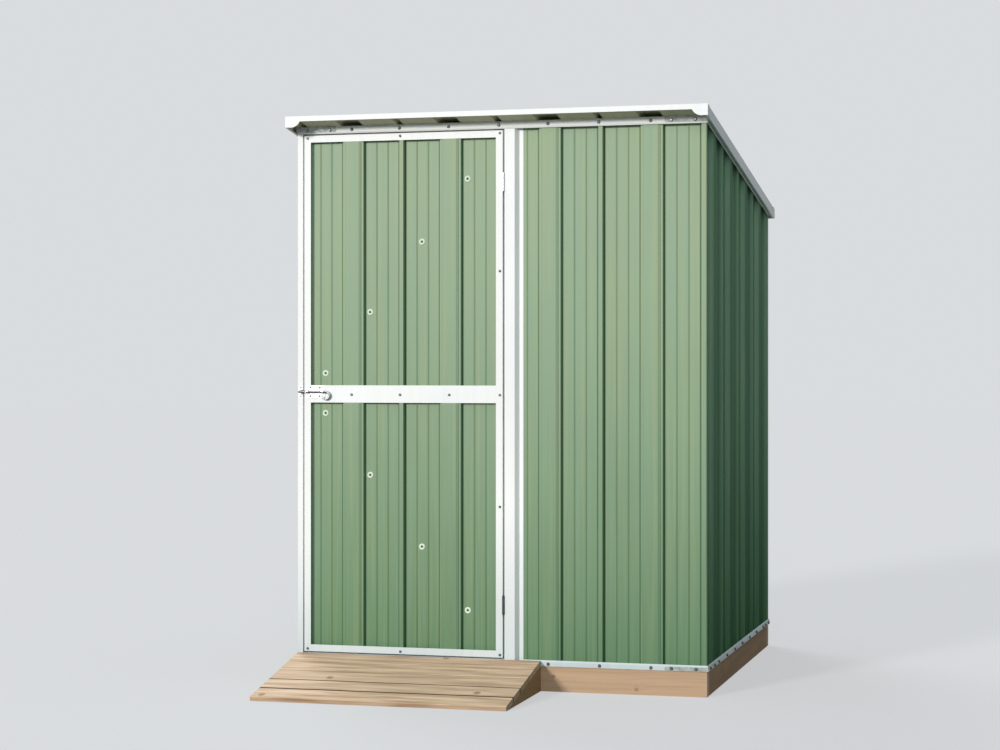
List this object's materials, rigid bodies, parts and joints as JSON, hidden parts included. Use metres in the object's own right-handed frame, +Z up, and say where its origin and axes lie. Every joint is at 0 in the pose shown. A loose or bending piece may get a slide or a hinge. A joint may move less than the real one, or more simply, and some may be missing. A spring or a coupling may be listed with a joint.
{
  "type": "metal tool shed",
  "caption": "Ribbed steel tool shed with a sloping roof, a braced side-hinged door with a pad bolt, a timber base and a ramp.",
  "frame": {"origin": "ground level, under the centre of the wall footprint, on the underside of the middle floor joist", "axes": "+X to the right as the door is faced, +Y from the door side to the rear, +Z up"},
  "size_m": [1.556, 2.071, 2.0714],
  "materials": {
    "green_sheet": "satin baked paint on ribbed steel sheet",
    "white_trim": "satin off-white baked paint on folded steel",
    "zinc_hardware": "bright zinc plated steel",
    "treated_pine": "planed softwood, lightly weathered"
  },
  "bodies": {
    "shed": {"base_joiners": "zinc_hardware", "bolt_keeper": "zinc_hardware", "door_head_stop": "white_trim", "door_sill": "white_trim", "floor_deck": "treated_pine", "floor_joists": "treated_pine", "front_base_rail": "white_trim", "front_bearer": "treated_pine", "front_header_rail": "white_trim", "front_panel": "green_sheet", "front_roof_flashing": "white_trim", "header_joiners": "zinc_hardware", "hinge_frame_leaves": "zinc_hardware", "left_barge_flashing": "white_trim", "left_base_rail": "white_trim", "left_bearer": "treated_pine", "left_door_jamb": "white_trim", "left_rake_rail": "white_trim", "left_wall_front_sheet": "green_sheet", "left_wall_rear_sheet": "green_sheet", "ramp_boards": "treated_pine", "ramp_left_cheek": "treated_pine", "ramp_right_cheek": "treated_pine", "rear_base_rail": "white_trim", "rear_bearer": "treated_pine", "rear_roof_flashing": "white_trim", "rear_top_rail": "white_trim", "rear_wall_left_sheet": "green_sheet", "rear_wall_right_sheet": "green_sheet", "right_barge_flashing": "white_trim", "right_base_rail": "white_trim", "right_bearer": "treated_pine", "right_door_jamb": "white_trim", "right_rake_rail": "white_trim", "right_wall_front_sheet": "green_sheet", "right_wall_rear_sheet": "green_sheet", "roof_left_sheet": "green_sheet", "roof_right_sheet": "green_sheet"},
    "door": {"door_left_stile": "white_trim", "door_right_stile": "white_trim", "door_top_rail": "white_trim", "door_bottom_rail": "white_trim", "door_middle_rail": "white_trim", "door_upper_brace": "white_trim", "door_lower_brace": "white_trim", "door_lower_sheet": "green_sheet", "door_upper_sheet": "green_sheet", "hinge_door_leaves": "zinc_hardware", "bolt_plate": "zinc_hardware"},
    "bolt": {"bolt_rod": "zinc_hardware"},
    "bolt_grip": {"bolt_handle": "zinc_hardware"}
  },
  "joints": [
    {"name": "door_swing", "type": "hinge", "parent": "shed", "child": "door", "pos_m": [0.02245, -0.767, 1], "axis": [0, 0, 1], "range_deg": [0, 165]},
    {"name": "bolt_slide", "type": "slide", "parent": "door", "child": "bolt", "axis": [1, 0, 0], "range_m": [0, 0.028]},
    {"name": "bolt_grip_turn", "type": "hinge", "parent": "bolt", "child": "bolt_grip", "pos_m": [-0.6474, -0.7715, 1.068], "axis": [-1, 0, 0], "range_deg": [0, 90]}
  ]
}
